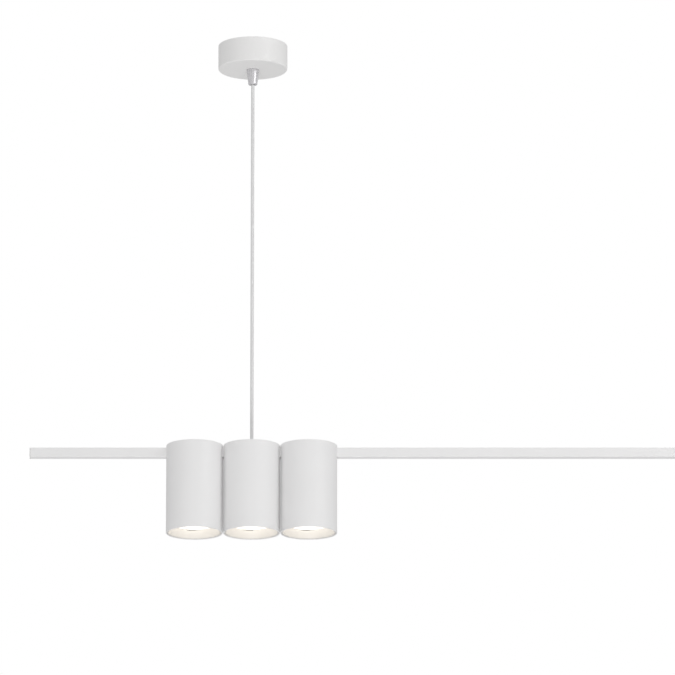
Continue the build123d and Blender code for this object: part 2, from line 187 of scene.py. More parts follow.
def turned(name, outline, middle=(0, 0), sides=96, hollow=False):
    """Round piece drawn from a disc. A hollow piece is drawn from a ring, and its last rim is welded
    to its first."""
    piece = draw_rim(name, outline, middle, sides, "NOTHING" if hollow else "NGON")
    pull_rim(outline + outline[:1] if hollow else outline, middle)
    if hollow:
        bpy.ops.mesh.remove_doubles(threshold=0.002 * mm)
    bpy.ops.mesh.normals_make_consistent(inside=False)
    leave()
    return piece


def rolled_sheet(name, outline, middle, sides):
    """Thin round wall drawn from a ring, without thickness yet."""
    piece = draw_rim(name, outline, middle, sides, "NOTHING")
    pull_rim(outline, middle)
    bpy.ops.mesh.normals_make_consistent(inside=False)
    leave()
    return piece


def ridges(crest, root, first_z, last_z, pitch):
    """Outline of a thread: a crest and a root for every turn between two heights."""
    steps = []
    z = first_z
    while (last_z - z) * pitch > 0:
        steps += [(crest, z), (root, z + pitch / 2)]
        z += pitch
    return steps


def apply_last(piece):
    make_active(piece)
    bpy.ops.object.modifier_apply(modifier=piece.modifiers[-1].name)


def thicken(piece, wall):
    """Gives a thin wall its thickness, behind its outer face."""
    solid = piece.modifiers.new("wall", "SOLIDIFY")
    solid.thickness = wall
    solid.offset = -1
    solid.use_even_offset = True
    apply_last(piece)


def near(a, b):
    return abs(a - b) < mm / 100


def upright(first, second):
    """True for an edge that stands straight up."""
    return near(first.x, second.x) and near(first.y, second.y)


def round_edges(piece, test, width, segments):
    """Rounds the edges that pass a test."""
    pick(piece, "EDGE", test)
    bpy.ops.mesh.bevel(offset=width, segments=segments, affect="EDGES")
    leave()


def round_ring(piece, radius, height, width, segments, middle=(0, 0)):
    """Rounds the ring of edges at one radius and height."""
    def on_ring(point):
        away = hypot(point.x - middle[0], point.y - middle[1])
        return abs(away - radius) < 0.05 * mm and near(point.z, height)
    round_edges(piece, lambda first, second: on_ring(first) and on_ring(second), width, segments)


def soften(piece, width, segments=2, angle=35):
    """Rounds every edge that is sharper than an angle in degrees."""
    rounding = piece.modifiers.new("rounding", "BEVEL")
    rounding.width = width
    rounding.segments = segments
    rounding.limit_method = "ANGLE"
    rounding.angle_limit = radians(angle)
    apply_last(piece)


def combine(piece, others, operation):
    """Cuts other shapes out of the piece, or welds them on."""
    for other in others:
        step = piece.modifiers.new("step", "BOOLEAN")
        step.operation = operation
        step.solver = "EXACT"
        step.object = other
        apply_last(piece)
        bpy.data.objects.remove(other)
    return piece


def cut(piece, *others):
    return combine(piece, others, "DIFFERENCE")


def weld(piece, *others):
    return combine(piece, others, "UNION")


def join(piece, *others):
    """Puts separate shapes into one piece."""
    make_active(piece)
    for other in others:
        other.select_set(True)
    bpy.ops.object.join()
    return piece


def copy_of(piece, name, shift):
    """A copy with its own mesh, moved by a shift."""
    make_active(piece)
    bpy.ops.object.duplicate()
    bpy.context.object.location = shift
    return settle(name)


def shade(piece):
    """Smooth shading that keeps the real edges, led by the larger faces."""
    make_active(piece)
    bpy.ops.object.shade_smooth_by_angle(angle=radians(32))
    weights = piece.modifiers.new("weights", "WEIGHTED_NORMAL")
    weights.keep_sharp = True
    apply_last(piece)


def put_on_body(piece, body, slot, *nodes):
    """Shades the piece and puts it on its body, in place of the frame's nodes."""
    shade(piece)
    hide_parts(*nodes)
    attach(piece, body)


def finish_piece(piece, body, slot, *nodes):
    """Gives the whole piece its slot's paint and puts it on its body."""
    piece.data.materials.clear()
    piece.data.materials.append(paints[slot])
    put_on_body(piece, body, slot, *nodes)


def rod(name, radius, low_z, high_z, x, y, sides):
    return turned(name, [(radius, low_z), (radius, high_z)], (x, y), sides)


def drill(radius, place, axis, length, sides=32):
    """Cutter for a round hole through a point, along X, Y or Z."""
    deselect_all()
    turn = {"X": (0, pi / 2, 0), "Y": (pi / 2, 0, 0), "Z": (0, 0, 0)}[axis]
    bpy.ops.mesh.primitive_cylinder_add(vertices=sides, radius=radius, depth=length, location=place,
                                        rotation=turn)
    return settle("drill")


# ---- finishes ----
class Finish:
    """One material, built up on the object's own coordinates."""

    def __init__(self, name, color, rough, metallic=0.0):
        self.material = bpy.data.materials.new(name)
        self.material.use_nodes = True
        self.nodes = self.material.node_tree.nodes
        self.links = self.material.node_tree.links
        self.shader = self.nodes["Principled BSDF"]
        self.shader.inputs["Base Color"].default_value = (*color, 1)
        self.shader.inputs["Roughness"].default_value = rough
        self.shader.inputs["Metallic"].default_value = metallic
        self.place = self.nodes.new("ShaderNodeTexCoord").outputs["Object"]

    def stretched(self, scale):
        """The object's coordinates with a scale of their own on each axis."""
        mapping = self.nodes.new("ShaderNodeMapping")
        mapping.inputs["Scale"].default_value = scale
        self.links.new(self.place, mapping.inputs["Vector"])
        return mapping.outputs["Vector"]

    def lumps(self, size, detail=2.0, place=None):
        """Soft random pattern whose lumps are about one size across."""
        noise = self.nodes.new("ShaderNodeTexNoise")
        noise.inputs["Scale"].default_value = 1 / size
        noise.inputs["Detail"].default_value = detail
        self.links.new(place or self.place, noise.inputs["Vector"])
        return noise.outputs["Fac"]

    def cells(self, size):
        """Pattern of small domes, each about one size across."""
        voronoi = self.nodes.new("ShaderNodeTexVoronoi")
        voronoi.inputs["Scale"].default_value = 1 / size
        self.links.new(self.place, voronoi.inputs["Vector"])
        return voronoi.outputs["Distance"]

    def range_of(self, pattern, low, high):
        """A pattern stretched between two values."""
        usual_low, usual_high = 0.35, 0.65
        limits = self.nodes.new("ShaderNodeMapRange")
        limits.inputs["From Min"].default_value = usual_low
        limits.inputs["From Max"].default_value = usual_high
        limits.inputs["To Min"].default_value = low
        limits.inputs["To Max"].default_value = high
        self.links.new(pattern, limits.inputs["Value"])
        return limits.outputs["Result"]

    def tint(self, pattern, first, second, socket="Base Color"):
        """Colour that moves between two with a pattern."""
        mix = self.nodes.new("ShaderNodeMix")
        mix.data_type = "RGBA"
        mix.inputs["A"].default_value = (*first, 1)
        mix.inputs["B"].default_value = (*second, 1)
        self.links.new(self.range_of(pattern, 0, 1), mix.inputs["Factor"])
        self.links.new(mix.outputs["Result"], self.shader.inputs[socket])

    def vary_roughness(self, pattern, low, high):
        self.links.new(self.range_of(pattern, low, high), self.shader.inputs["Roughness"])

    def relief(self, pattern, depth):
        """Fine height, laid over what is there already."""
        bump = self.nodes.new("ShaderNodeBump")
        bump.inputs["Distance"].default_value = depth
        old = self.shader.inputs["Normal"].links
        if old:
            self.links.new(old[0].from_socket, bump.inputs["Normal"])
        self.links.new(pattern, bump.inputs["Height"])
        self.links.new(bump.outputs["Normal"], self.shader.inputs["Normal"])


def darker(color, share):
    return tuple(value * share for value in color)


def powder_coat(name, color, rough, grain=0.55 * mm, depth=0.005 * mm):
    """Fine powder coat: soft orange peel, a film that is a little thinner or glossier in places."""
    paint = Finish(name, color, rough)
    paint.tint(paint.lumps(60 * mm, 3), darker(color, 0.985), color)
    paint.vary_roughness(paint.lumps(14 * mm, 3), rough - 0.02, rough + 0.03)
    paint.relief(paint.lumps(grain, 2), depth)
    paint.relief(paint.lumps(0.25 * mm, 1), depth / 4)
    return paint.material


def grip_paint():
    """Satin white with a pearl sheen."""
    pearl = Finish("grip_paint", (0.70, 0.69, 0.71), 0.27, 0.5)
    pearl.tint(pearl.lumps(9 * mm, 3), (0.69, 0.68, 0.70), (0.705, 0.695, 0.715))
    pearl.vary_roughness(pearl.lumps(6 * mm, 2), 0.25, 0.29)
    pearl.relief(pearl.lumps(0.2 * mm, 1), 0.0008 * mm)
    return pearl.material


def bar_paint():
    """Powder coat on drawn aluminium, with faint lengthwise draw lines under the film."""
    white = (0.89, 0.885, 0.885)
    paint = Finish("bar_paint", white, 0.45)
    paint.tint(paint.lumps(45 * mm, 3), darker(white, 0.985), white)
    paint.vary_roughness(paint.lumps(9 * mm, 3), 0.42, 0.48)
    draw_lines = paint.lumps(0.9 * mm, 2, paint.stretched((0.02, 1, 1)))
    paint.relief(draw_lines, 0.004 * mm)
    paint.relief(paint.lumps(0.55 * mm, 2), 0.005 * mm)
    return paint.material


def end_plastic():
    """Moulded cap with a fine spark-eroded grain."""
    plastic = Finish("end_plastic", (0.80, 0.80, 0.79), 0.5)
    plastic.tint(plastic.lumps(3 * mm, 3), (0.785, 0.785, 0.775), (0.80, 0.80, 0.79))
    plastic.vary_roughness(plastic.lumps(1.5 * mm, 2), 0.45, 0.56)
    plastic.relief(plastic.cells(0.22 * mm), 0.012 * mm)
    return plastic.material


def reflector_white():
    """Gloss white reflector with slight flow marks."""
    gloss = Finish("reflector_white", (0.70, 0.685, 0.655), 0.42)
    gloss.tint(gloss.lumps(12 * mm, 2), (0.69, 0.675, 0.645), (0.705, 0.69, 0.66))
    gloss.vary_roughness(gloss.lumps(5 * mm, 3), 0.38, 0.48)
    gloss.relief(gloss.lumps(1.2 * mm, 1), 0.006 * mm)
    return gloss.material


def lens_lit():
    """Frosted lens lit from behind, warmer in some places than in others."""
    lens = Finish("lens_lit", (0.85, 0.85, 0.84), 0.35)
    lens.shader.inputs["Emission Strength"].default_value = 2.45
    lens.tint(lens.lumps(9 * mm, 1), (1.0, 0.895, 0.78), (1.0, 0.92, 0.83), "Emission Color")
    lens.relief(lens.cells(0.9 * mm), 0.05 * mm)
    return lens.material


def bulb_plastic():
    """Warm white lamp housing with a satin moulded skin."""
    plastic = Finish("bulb_plastic", (0.78, 0.78, 0.76), 0.38)
    plastic.tint(plastic.lumps(10 * mm, 3), (0.76, 0.76, 0.735), (0.78, 0.78, 0.76))
    plastic.vary_roughness(plastic.lumps(4 * mm, 3), 0.33, 0.46)
    plastic.relief(plastic.lumps(0.5 * mm, 2), 0.010 * mm)
    return plastic.material


def led_board():
    """White solder mask with a fine weave of the board below."""
    board = Finish("led_board", (0.82, 0.82, 0.80), 0.3)
    board.tint(board.lumps(2.5 * mm, 2), (0.78, 0.785, 0.76), (0.82, 0.82, 0.80))
    board.vary_roughness(board.lumps(1 * mm, 2), 0.25, 0.4)
    board.relief(board.cells(0.6 * mm), 0.01 * mm)
    return board.material


def led_chip():
    """Yellow phosphor over the chips."""
    chip = Finish("led_chip", (0.85, 0.66, 0.20), 0.4)
    chip.tint(chip.lumps(0.8 * mm, 2), (0.80, 0.58, 0.14), (0.87, 0.70, 0.24))
    chip.relief(chip.lumps(0.3 * mm, 2), 0.01 * mm)
    return chip.material


def turned_metal(name, color, rough):
    """Machined metal with fine lines across the turning axis."""
    metal = Finish(name, color, rough, 1.0)
    metal.tint(metal.lumps(4 * mm, 3), darker(color, 0.9), color)
    metal.vary_roughness(metal.lumps(1.4 * mm, 3), rough - 0.06, rough + 0.10)
    turning_lines = metal.lumps(0.18 * mm, 2, metal.stretched((0.15, 0.15, 1)))
    metal.relief(turning_lines, 0.006 * mm)
    return metal.material


def zinc_steel():
    """Bright zinc plate with faint blue and straw tints."""
    zinc = Finish("zinc_steel", (0.56, 0.575, 0.59), 0.54, 0.85)
    zinc.tint(zinc.lumps(5 * mm, 5), (0.53, 0.545, 0.56), (0.59, 0.59, 0.58))
    zinc.vary_roughness(zinc.lumps(2 * mm, 3), 0.50, 0.60)
    zinc.relief(zinc.lumps(0.4 * mm, 2), 0.003 * mm)
    return zinc.material


def holder_ceramic():
    """Unglazed steatite: chalky cream with a few darker grains."""
    ceramic = Finish("holder_ceramic", (0.80, 0.77, 0.70), 0.6)
    ceramic.tint(ceramic.lumps(0.7 * mm, 4), (0.74, 0.70, 0.62), (0.81, 0.78, 0.71))
    ceramic.vary_roughness(ceramic.lumps(3 * mm, 3), 0.52, 0.72)
    ceramic.relief(ceramic.lumps(0.3 * mm, 4), 0.03 * mm)
    return ceramic.material


def block_plastic():
    """Natural polyamide, slightly see-through."""
    plastic = Finish("block_plastic", (0.80, 0.79, 0.74), 0.42)
    plastic.shader.inputs["Subsurface Weight"].default_value = 0.25
    plastic.shader.inputs["Subsurface Scale"].default_value = 1.5 * mm
    plastic.tint(plastic.lumps(6 * mm, 3), (0.77, 0.76, 0.70), (0.81, 0.80, 0.755))
    plastic.vary_roughness(plastic.lumps(2 * mm, 3), 0.36, 0.5)
    plastic.relief(plastic.lumps(0.35 * mm, 2), 0.008 * mm)
    return plastic.material


def cord_sheath(name, color, rough=0.42):
    """Soft PVC with faint lengthwise drag lines from the die."""
    sheath = Finish(name, color, rough)
    sheath.tint(sheath.lumps(7 * mm, 3), darker(color, 0.965), color)
    sheath.vary_roughness(sheath.lumps(3 * mm, 3), rough - 0.06, rough + 0.08)
    sheath.relief(sheath.lumps(0.5 * mm, 2, sheath.stretched((1, 1, 0.03))), 0.02 * mm)
    sheath.relief(sheath.lumps(0.3 * mm, 2), 0.006 * mm)
    return sheath.material


def core_green_yellow():
    """Green core with yellow stripes."""
    core = Finish("core_green_yellow", (0.10, 0.42, 0.12), 0.4)
    wave = core.nodes.new("ShaderNodeTexWave")
    wave.wave_type = "BANDS"
    wave.bands_direction = "DIAGONAL"
    wave.inputs["Scale"].default_value = 160
    core.links.new(core.place, wave.inputs["Vector"])
    core.tint(wave.outputs["Fac"], (0.09, 0.36, 0.10), (0.80, 0.72, 0.10))
    core.vary_roughness(core.lumps(1.5 * mm, 2), 0.34, 0.5)
    core.relief(core.lumps(0.3 * mm, 2), 0.006 * mm)
    return core.material


def floor_paint():
    """Pale matt floor, kept as bright to look at as the studio round it."""
    pale = Finish("floor_paint", (0.76, 0.76, 0.76), 0.8)
    pale.tint(pale.lumps(0.9, 3), (0.75, 0.75, 0.75), (0.77, 0.77, 0.77))
    pale.vary_roughness(pale.lumps(0.4, 3), 0.75, 0.85)
    path = pale.nodes.new("ShaderNodeLightPath")
    glow = pale.nodes.new("ShaderNodeMath")
    glow.operation = "MULTIPLY"
    glow_strength = 0.32
    glow.inputs[1].default_value = glow_strength
    pale.links.new(path.outputs["Is Camera Ray"], glow.inputs[0])
    pale.shader.inputs["Emission Color"].default_value = (1, 1, 1, 1)
    pale.links.new(glow.outputs[0], pale.shader.inputs["Emission Strength"])
    return pale.material


paints = {
    "canopy_paint": powder_coat("canopy_paint", (0.89, 0.885, 0.88), 0.42),
    "grip_paint": grip_paint(),
    "tube_paint": powder_coat("tube_paint", (0.89, 0.885, 0.885), 0.44),
    "bar_paint": bar_paint(),
    "bush_paint": powder_coat("bush_paint", (0.77, 0.77, 0.77), 0.38, 0.4 * mm, 0.006 * mm),
    "end_plastic": end_plastic(),
    "reflector_white": reflector_white(),
    "lens_lit": lens_lit(),
    "bulb_plastic": bulb_plastic(),
    "led_board": led_board(),
    "pin_metal": turned_metal("pin_metal", (0.74, 0.73, 0.70), 0.28),
    "holder_ceramic": holder_ceramic(),
    "zinc_steel": zinc_steel(),
    "screw_steel": turned_metal("screw_steel", (0.62, 0.62, 0.63), 0.32),
    "brass": turned_metal("brass", (0.80, 0.60, 0.28), 0.3),
    "led_chip": led_chip(),
    "block_plastic": block_plastic(),
    "cord_white": cord_sheath("cord_white", (0.78, 0.78, 0.78)),
    "core_brown": cord_sheath("core_brown", (0.16, 0.07, 0.035), 0.36),
    "core_blue": cord_sheath("core_blue", (0.05, 0.20, 0.52), 0.36),
    "core_green_yellow": core_green_yellow(),
}


def paint_nodes():
    """Every node of the frame gets the finish of its own slot."""
    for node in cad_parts.values():
        for place in node.material_slots:
            slot = place.material.name.split(".")[0]
            if slot in paints:
                place.material = paints[slot]


# ---- measures that several pieces share ----
wall = 1.2 * mm
pole_places = (-8 * mm, 0.0, 8 * mm)
screw_shank_r = 1.45 * mm
post_y = 8.6 * mm
holder_screw_x = 11 * mm
pin_x = 5 * mm
wire_y = 1.6 * mm
stud_rise = 7.5 * mm
stud_angles = (90, 210, 330)
spot_places = []
for number in (1, 2, 3):
    tube_low, tube_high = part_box(f"spot_tube_{number}")
    spot_places.append((tube_low.x + tube_high.x) / 2)
first_x = spot_places[0]


# ---- ceiling canopy, what is in it, and the cord ----
def make_canopy():
    """Pressed steel cup, open towards the ceiling, with a rolled lower edge and a hole for each
    side screw."""
    low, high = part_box("canopy_cover")
    screw_low, screw_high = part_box("canopy_screws")
    hole_r = 5.05 * mm
    side_hole_r = 1.55 * mm
    outer = high.x
    inner = outer - wall
    cup = turned("canopy_shell", [
        (outer, high.z), (outer, low.z), (hole_r, low.z), (hole_r, low.z + wall),
        (inner, low.z + wall), (inner, high.z)], sides=160, hollow=True)
    round_ring(cup, outer, low.z, 1.5 * mm, 7)
    round_ring(cup, inner, low.z + wall, 0.8 * mm, 4)
    round_ring(cup, outer, high.z, 0.25 * mm, 3)
    round_ring(cup, inner, high.z, 0.25 * mm, 3)
    round_ring(cup, hole_r, low.z, 0.2 * mm, 2)
    screw_z = (screw_low.z + screw_high.z) / 2
    cut(cup, drill(side_hole_r, (0, 0, screw_z), "X", 3 * outer))
    finish_piece(cup, "ceiling_rose", "canopy_paint", "canopy_cover")


def make_set_screw(name, side):
    """Headless screw with a hexagon socket, lying along X."""
    low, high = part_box("canopy_screws")
    length = 5.5 * mm
    radius = (high.z - low.z) / 2
    socket_r = 0.85 * mm
    socket_depth = 1.8 * mm
    outline = [(radius - 0.5 * mm, 0)]
    outline += ridges(radius, radius - 0.18 * mm, 0.5 * mm, 4.2 * mm, 0.8 * mm)
    outline += [(radius, 4.5 * mm), (radius, length - 0.3 * mm), (radius - 0.3 * mm, length)]
    screw = turned(name, outline, sides=32)
    cut(screw, drill(socket_r, (0, 0, length), "Z", 2 * socket_depth, sides=6))
    make_active(screw)
    screw.rotation_euler = (0, side * pi / 2, 0)
    screw.location = (side * (high.x - length), 0, (low.z + high.z) / 2)
    return settle(name)


def make_canopy_screws():
    screws = join(make_set_screw("canopy_set_screws", 1), make_set_screw("left_set_screw", -1))
    finish_piece(screws, "ceiling_rose", "screw_steel", "canopy_screws")


def make_cord_grip():
    """Tapered cord grip with a threaded neck that goes up through the canopy."""
    low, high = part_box("cord_grip")
    floor_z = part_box("canopy_cover")[0].z
    top_r = high.x
    tip_r = 4.65 * mm
    bore = 1.95 * mm
    neck = 5.0 * mm
    edge = 0.35 * mm
    outline = [(bore, high.z), (neck - 0.6 * mm, high.z)]
    outline += ridges(neck, neck - 0.45 * mm, high.z - 0.6 * mm, floor_z + 1.3 * mm, -1.0 * mm)
    outline += [
        (neck, floor_z + 0.3 * mm), (neck, floor_z), (top_r - edge, floor_z), (top_r, floor_z - edge),
        (top_r, floor_z - 1.1 * mm), (tip_r + 0.12 * mm, low.z + edge), (tip_r - edge, low.z),
        (bore + 1.0 * mm, low.z), (bore + 0.3 * mm, low.z + 0.4 * mm), (bore, low.z + 1.2 * mm)]
    grip = turned("tapered_cord_grip", outline, hollow=True)
    soften(grip, 0.12 * mm, 2, 40)
    finish_piece(grip, "ceiling_rose", "grip_paint", "cord_grip")


def make_grip_nut():
    """Hexagon nut with its corners turned down on both faces."""
    low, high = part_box("grip_nut")
    across_flats = 14.0 * mm
    corner_r = across_flats / 3 ** 0.5
    middle_z = (low.z + high.z) / 2
    deselect_all()
    bpy.ops.mesh.primitive_cylinder_add(vertices=6, radius=corner_r, depth=high.z - low.z,
                                        location=(0, 0, middle_z))
    nut = settle("grip_lock_nut")
    slope = 0.7 * mm
    face_r = across_flats / 2 - 0.2 * mm
    widest_r = corner_r + 0.1 * mm
    cone = turned("nut_turning", [
        (face_r, low.z - 0.01 * mm), (widest_r, low.z + slope), (widest_r, high.z - slope),
        (face_r, high.z + 0.01 * mm)])
    combine(nut, [cone], "INTERSECT")
    bore = 5.0 * mm
    mouth = 5.6 * mm
    cut(nut, turned("nut_bore", [
        (mouth, low.z - 0.1 * mm), (bore, low.z + 0.5 * mm), (bore, high.z - 0.5 * mm),
        (mouth, high.z + 0.1 * mm)], sides=64))
    finish_piece(nut, "ceiling_rose", "brass", "grip_nut")


def make_retainer():
    """Split clamp ring on the cord above the grip, with a cheese-head clamp screw across it."""
    low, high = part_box("cord_retainer")
    outer = high.x
    bore = 1.8 * mm
    ring = turned("cord_clamp_ring", [(bore, high.z), (outer, high.z), (outer, low.z), (bore, low.z)],
                  sides=64, hollow=True)
    half_gap = 0.35 * mm
    cut(ring, block("ring_gap", (-outer - mm, -half_gap, low.z - mm),
                    (-bore + 0.2 * mm, half_gap, high.z + mm)))
    soften(ring, 0.3 * mm)
    middle_z = (low.z + high.z) / 2
    screw_x = -(outer + bore) / 2
    cut(ring, drill(0.75 * mm, (screw_x, 0, middle_z), "Y", 3 * outer))
    shank = drill(0.7 * mm, (screw_x, 0, middle_z), "Y", 1.2 * outer)
    finish_piece(join(ring, shank), "ceiling_rose", "zinc_steel", "cord_retainer")


def slot_cutter(x, length, width, low_z, high_z):
    """Cutter for a round-ended slot along X."""
    cutter = block("slot", (x - length / 2, -width / 2, low_z), (x + length / 2, width / 2, high_z))
    round_edges(cutter, upright, width / 2 * 0.999, 10)
    return cutter


def make_ceiling_bracket():
    """Steel strip screwed to the ceiling: two slots, a hole for the supply, and an ear at each end
    that the side screws bite on."""
    low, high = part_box("ceiling_bracket")
    sheet = 1.5 * mm
    plate_x = 33.4 * mm
    ear_half = 6.0 * mm
    ear_x = high.x
    slot_x = 20 * mm
    slot_length = 12 * mm
    slot_width = 4.6 * mm
    supply_hole_r = 6 * mm
    side_hole_r = 1.5 * mm
    side_hole_z = -6 * mm
    block_hole_r = 1.25 * mm
    strip = block("ceiling_strip", (-ear_x, -ear_half, -sheet), (ear_x, ear_half, 0))
    plate = block("wide_strip", (-plate_x, low.y, -sheet), (plate_x, high.y, 0))
    round_edges(plate, upright, 1.2 * mm, 4)
    ears = []
    for side in (-1, 1):
        ends = sorted((side * (ear_x - sheet), side * ear_x))
        ear = block("ear", (ends[0], -ear_half, low.z), (ends[1], ear_half, 0))
        round_edges(ear, lambda a, b: near(a.z, low.z) and near(b.z, low.z) and near(a.y, b.y), 2.5 * mm, 6)
        ears.append(ear)
    weld(strip, plate, *ears)

    def on_fold(first, second):
        return all(near(end.z, 0) and near(abs(end.x), ear_x) for end in (first, second))

    round_edges(strip, on_fold, 1.2 * mm, 4)
    cut(strip, *(slot_cutter(side * slot_x, slot_length, slot_width, -3 * mm, mm) for side in (-1, 1)))
    cut(strip, drill(supply_hole_r, (0, 0, 0), "Z", 6 * mm, 64),
        drill(side_hole_r, (0, 0, side_hole_z), "X", 90 * mm),
        drill(block_hole_r, (4 * mm, 9.8 * mm, 0), "Z", 6 * mm))
    soften(strip, 0.15 * mm)
    finish_piece(strip, "ceiling_rose", "zinc_steel", "ceiling_bracket")


def make_terminal_block():
    """Three-pole strip: a rounded housing over each clamp, a collar round each screw, and deep
    grooves between the poles."""
    low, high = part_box("terminal_block")
    rows = (low.y + 2.97 * mm, low.y + 8.03 * mm)
    housing_r = 3.45 * mm
    collar_r = 2.3 * mm
    clamp_hole_r = 2.4 * mm
    screw_hole_r = 1.6 * mm
    pole_z = (low.z + high.z) / 2
    strip = block("terminal_strip", (low.x, low.y + 0.6 * mm, pole_z + 0.5 * mm),
                  (high.x, high.y - 0.6 * mm, high.z))
    middle_y = (low.y + high.y) / 2
    parts = []
    for x in pole_places:
        parts.append(drill(housing_r, (x, middle_y, pole_z), "Y", high.y - low.y, 48))
        parts += [rod("collar", collar_r, low.z, pole_z, x, y, 32) for y in rows]
    weld(strip, *parts)
    for x in pole_places:
        cut(strip, drill(clamp_hole_r, (x, middle_y, pole_z), "Y", 20 * mm, 40))
        cut(strip, *(drill(screw_hole_r, (x, y, low.z), "Z", 9 * mm) for y in rows))
    cut(strip, drill(1.25 * mm, (4 * mm, middle_y, pole_z), "Z", 20 * mm))
    soften(strip, 0.2 * mm, 2, 50)
    finish_piece(strip, "ceiling_rose", "block_plastic", "terminal_block")


def make_terminal_clamps():
    """Brass sleeves with broken edges and a tapped hole for each screw."""
    low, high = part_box("terminal_clamps")
    pole_z = (low.z + high.z) / 2
    middle_y = (low.y + high.y) / 2
    outer = (high.z - low.z) / 2
    bore = 1.5 * mm
    half = 4.5 * mm
    edge = 0.3 * mm
    sleeves = []
    for x in pole_places:
        sleeve = turned("brass_clamps", [
            (bore, -half), (outer - edge, -half), (outer, -half + edge), (outer, half - edge),
            (outer - edge, half), (bore, half)], sides=40, hollow=True)
        make_active(sleeve)
        sleeve.rotation_euler = (pi / 2, 0, 0)
        sleeve.location = (x, middle_y, pole_z)
        sleeve = settle("brass_clamps")
        for y in (middle_y - 2.53 * mm, middle_y + 2.53 * mm):
            cut(sleeve, drill(1.5 * mm, (x, y, pole_z - 3 * mm), "Z", 6 * mm))
        sleeves.append(sleeve)
    finish_piece(join(*sleeves), "ceiling_rose", "brass", "terminal_clamps")


def make_terminal_screws():
    """Six slotted clamp screws."""
    low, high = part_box("terminal_screws")
    radius = screw_shank_r
    half_slot = 0.3 * mm
    outline = [(radius - 0.25 * mm, low.z), (radius, low.z + 0.25 * mm)]
    outline += ridges(radius, radius - 0.2 * mm, low.z + 1.2 * mm, low.z + 2.7 * mm, 0.6 * mm)
    outline.append((radius - 0.3 * mm, high.z))
    screws = []
    for x in pole_places:
        for y in (low.y + 1.5 * mm, high.y - 1.5 * mm):
            screw = turned("clamp_screws", outline, (x, y), 32)
            slot = block("slot", (x - 2 * mm, y - half_slot, low.z - mm),
                         (x + 2 * mm, y + half_slot, low.z + 0.8 * mm))
            screws.append(cut(screw, slot))
    finish_piece(join(*screws), "ceiling_rose", "screw_steel", "terminal_screws")


def cross_recess(x, y, z, size):
    """Cutter for a cross recess that tapers upwards from a head's face."""
    deselect_all()
    bpy.ops.mesh.primitive_cone_add(vertices=4, radius1=size, radius2=0.15 * size, depth=1.4 * size,
                                    location=(x, y, z + 0.6 * size))
    return settle("recess")


def pan_screw(name, head_r, shank_r, face_z, seat_z, tip_z, x, y):
    """Domed head with a cross recess, facing down, on a ridged shank."""
    rise = seat_z - face_z
    outline = [(0.35 * head_r, face_z), (0.75 * head_r, face_z + 0.10 * rise),
               (head_r, face_z + 0.45 * rise), (head_r, seat_z), (shank_r, seat_z)]
    outline += ridges(shank_r, shank_r - 0.2 * mm, seat_z + 0.6 * mm, tip_z - 0.8 * mm, 0.5 * mm)
    outline += [(shank_r, tip_z - 0.5 * mm), (shank_r - 0.4 * mm, tip_z)]
    screw = turned(name, outline, (x, y), 32)
    return cut(screw, cross_recess(x, y, face_z, 0.42 * head_r))


def make_block_screw():
    """Screw that holds the terminal strip to the bracket."""
    low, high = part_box("block_screw")
    head_r = (high.x - low.x) / 2
    seat_z = low.z + 1.4 * mm
    screw = pan_screw("strip_screw", head_r, 1.25 * mm, low.z, seat_z, high.z,
                      (low.x + high.x) / 2, (low.y + high.y) / 2)
    finish_piece(screw, "ceiling_rose", "screw_steel", "block_screw")


def make_supply_cord():
    """Round cord, pulled straight by the fixture's weight, from the grip down into the bar."""
    low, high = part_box("supply_cord")
    neck_low, neck_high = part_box("cord_neck")
    top_z = (neck_low.z + neck_high.z) / 2
    diameter = high.x - low.x
    straight = 6 * diameter
    points = [(0, 0, top_z), (0, 0, top_z - straight), (0, 0, low.z + straight), (0, 0, low.z)]
    curve = bpy.data.curves.new("hanging_cord_line", "CURVE")
    curve.dimensions = "3D"
    line = curve.splines.new("NURBS")
    line.points.add(len(points) - 1)
    for point, place in zip(line.points, points):
        point.co = (*place, 1)
        point.radius = diameter / 2
    line.order_u = 3
    line.use_endpoint_u = True
    curve.bevel_depth = 1
    curve.bevel_resolution = 8
    curve.use_fill_caps = True
    cord = bpy.data.objects.new("hanging_cord_line", curve)
    bpy.context.scene.collection.objects.link(cord)
    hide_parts("supply_cord")
    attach(cord, "hanging_cord")
    cord.data.materials.append(paints["cord_white"])


# ---- bar ----
def make_bush():
    """Turned ferrule where the cord enters the middle cap, with two fine grooves."""
    low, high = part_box("cord_bush")
    outer = high.x
    bore = 1.85 * mm
    spigot = 3.0 * mm
    seat_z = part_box("spot_cap_2")[1].z
    groove = 0.18 * mm
    outline = [(bore, low.z), (spigot, low.z), (spigot, seat_z), (outer, seat_z)]
    for share in (0.28, 0.50):
        z = seat_z + share * (high.z - seat_z)
        outline += [(outer, z), (outer - groove, z + groove), (outer, z + 2 * groove)]
    outline += [(outer, high.z - 0.9 * mm), (outer - 0.25 * mm, high.z - 0.35 * mm),
                (outer - 0.8 * mm, high.z), (bore + 0.4 * mm, high.z), (bore, high.z - 0.4 * mm)]
    bush = turned("cord_entry_bush", outline, sides=80, hollow=True)
    soften(bush, 0.06 * mm, 2, 40)
    finish_piece(bush, "spot_bar", "bush_paint", "cord_bush")


